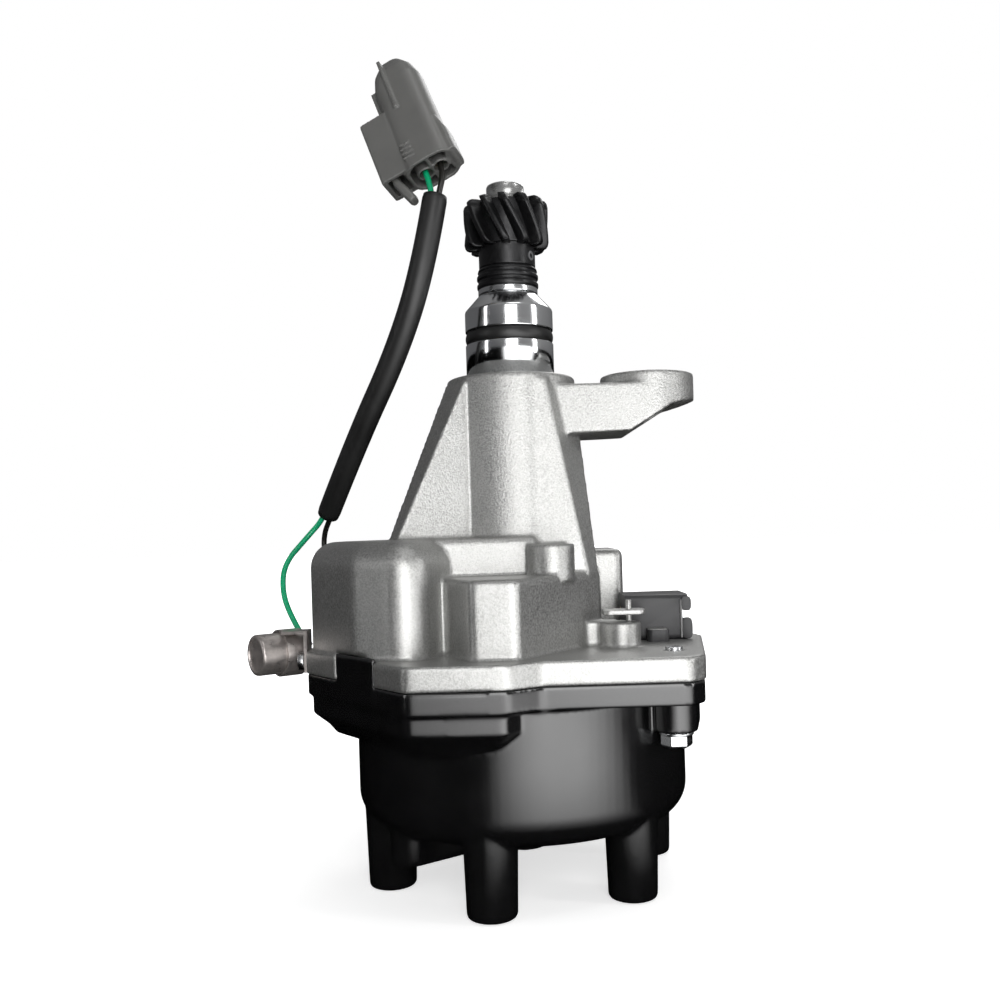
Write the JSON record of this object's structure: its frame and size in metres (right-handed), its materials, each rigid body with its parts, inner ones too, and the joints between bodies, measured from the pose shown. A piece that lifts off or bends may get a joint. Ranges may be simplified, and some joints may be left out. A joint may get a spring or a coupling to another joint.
{
  "type": "ignition distributor",
  "caption": "Ignition distributor with built-in coil: cast housing with adjusting arm, helical drive gear, black tower cap, condenser and plug lead.",
  "frame": {"origin": "on the shaft's axis at the mounting seat, where the nose enters the engine", "axes": "+Z along the nose to the drive gear, +X along the adjusting arm, +Y to the back"},
  "size_m": [0.1456, 0.1124, 0.2576],
  "materials": {
    "cast_aluminium": "satin",
    "rubber": "matte",
    "bronze": "satin",
    "bearing_steel": "polished",
    "zinc_steel": "satin",
    "black_plastic": "satin",
    "brass": "satin",
    "carbon": "matte",
    "core_steel": "satin",
    "dark_plastic": "satin",
    "nickel_steel": "polished",
    "sleeve_vinyl": "satin",
    "green_vinyl": "gloss",
    "black_vinyl": "gloss",
    "grey_plastic": "satin",
    "ground_steel": "polished",
    "gear_steel": "satin"
  },
  "bodies": {
    "distributor": {"housing": "cast_aluminium", "nose_o_ring": "rubber", "nose_bushing": "bronze", "oil_seal": "rubber", "bearing_outer_ring": "bearing_steel", "bearing_balls": "bearing_steel", "bearing_retainer": "zinc_steel", "retainer_screws": "zinc_steel", "distributor_cap": "black_plastic", "cap_gasket": "rubber", "cap_screws": "zinc_steel", "tower_terminals": "brass", "high_tension_strip": "brass", "carbon_brush": "carbon", "brush_spring": "zinc_steel", "sensor_plate": "zinc_steel", "plate_screws": "zinc_steel", "sensor_pickup": "black_plastic", "dust_cover": "black_plastic", "cover_screws": "zinc_steel", "coil_core": "core_steel", "ignition_coil": "black_plastic", "coil_screws": "zinc_steel", "igniter_module": "black_plastic", "connector_shell": "dark_plastic", "connector_pins": "brass", "connector_clip": "zinc_steel", "condenser_can": "nickel_steel", "condenser_bracket": "nickel_steel", "condenser_screw": "zinc_steel", "condenser_boot": "rubber", "wire_sleeve": "sleeve_vinyl", "green_wire": "green_vinyl", "black_wire": "black_vinyl", "green_wire_end": "green_vinyl", "black_wire_end": "black_vinyl", "wire_grommet": "rubber", "plug_housing": "grey_plastic", "plug_lock": "grey_plastic", "plug_terminals": "brass"},
    "shaft_line": {"drive_shaft": "ground_steel", "bearing_inner_ring": "bearing_steel", "drive_gear": "gear_steel", "gear_pin": "zinc_steel", "thrust_collar": "gear_steel", "thrust_washer": "ground_steel", "disc_hub": "cast_aluminium", "signal_disc": "zinc_steel", "disc_spacer": "cast_aluminium", "rotor_arm": "black_plastic", "rotor_contact": "brass", "rotor_screw": "zinc_steel"}
  },
  "joints": [
    {"name": "shaft_turn", "type": "hinge", "parent": "distributor", "child": "shaft_line", "pos_m": [0, 0, 0], "axis": [0, 0, 1], "continuous": true}
  ]
}
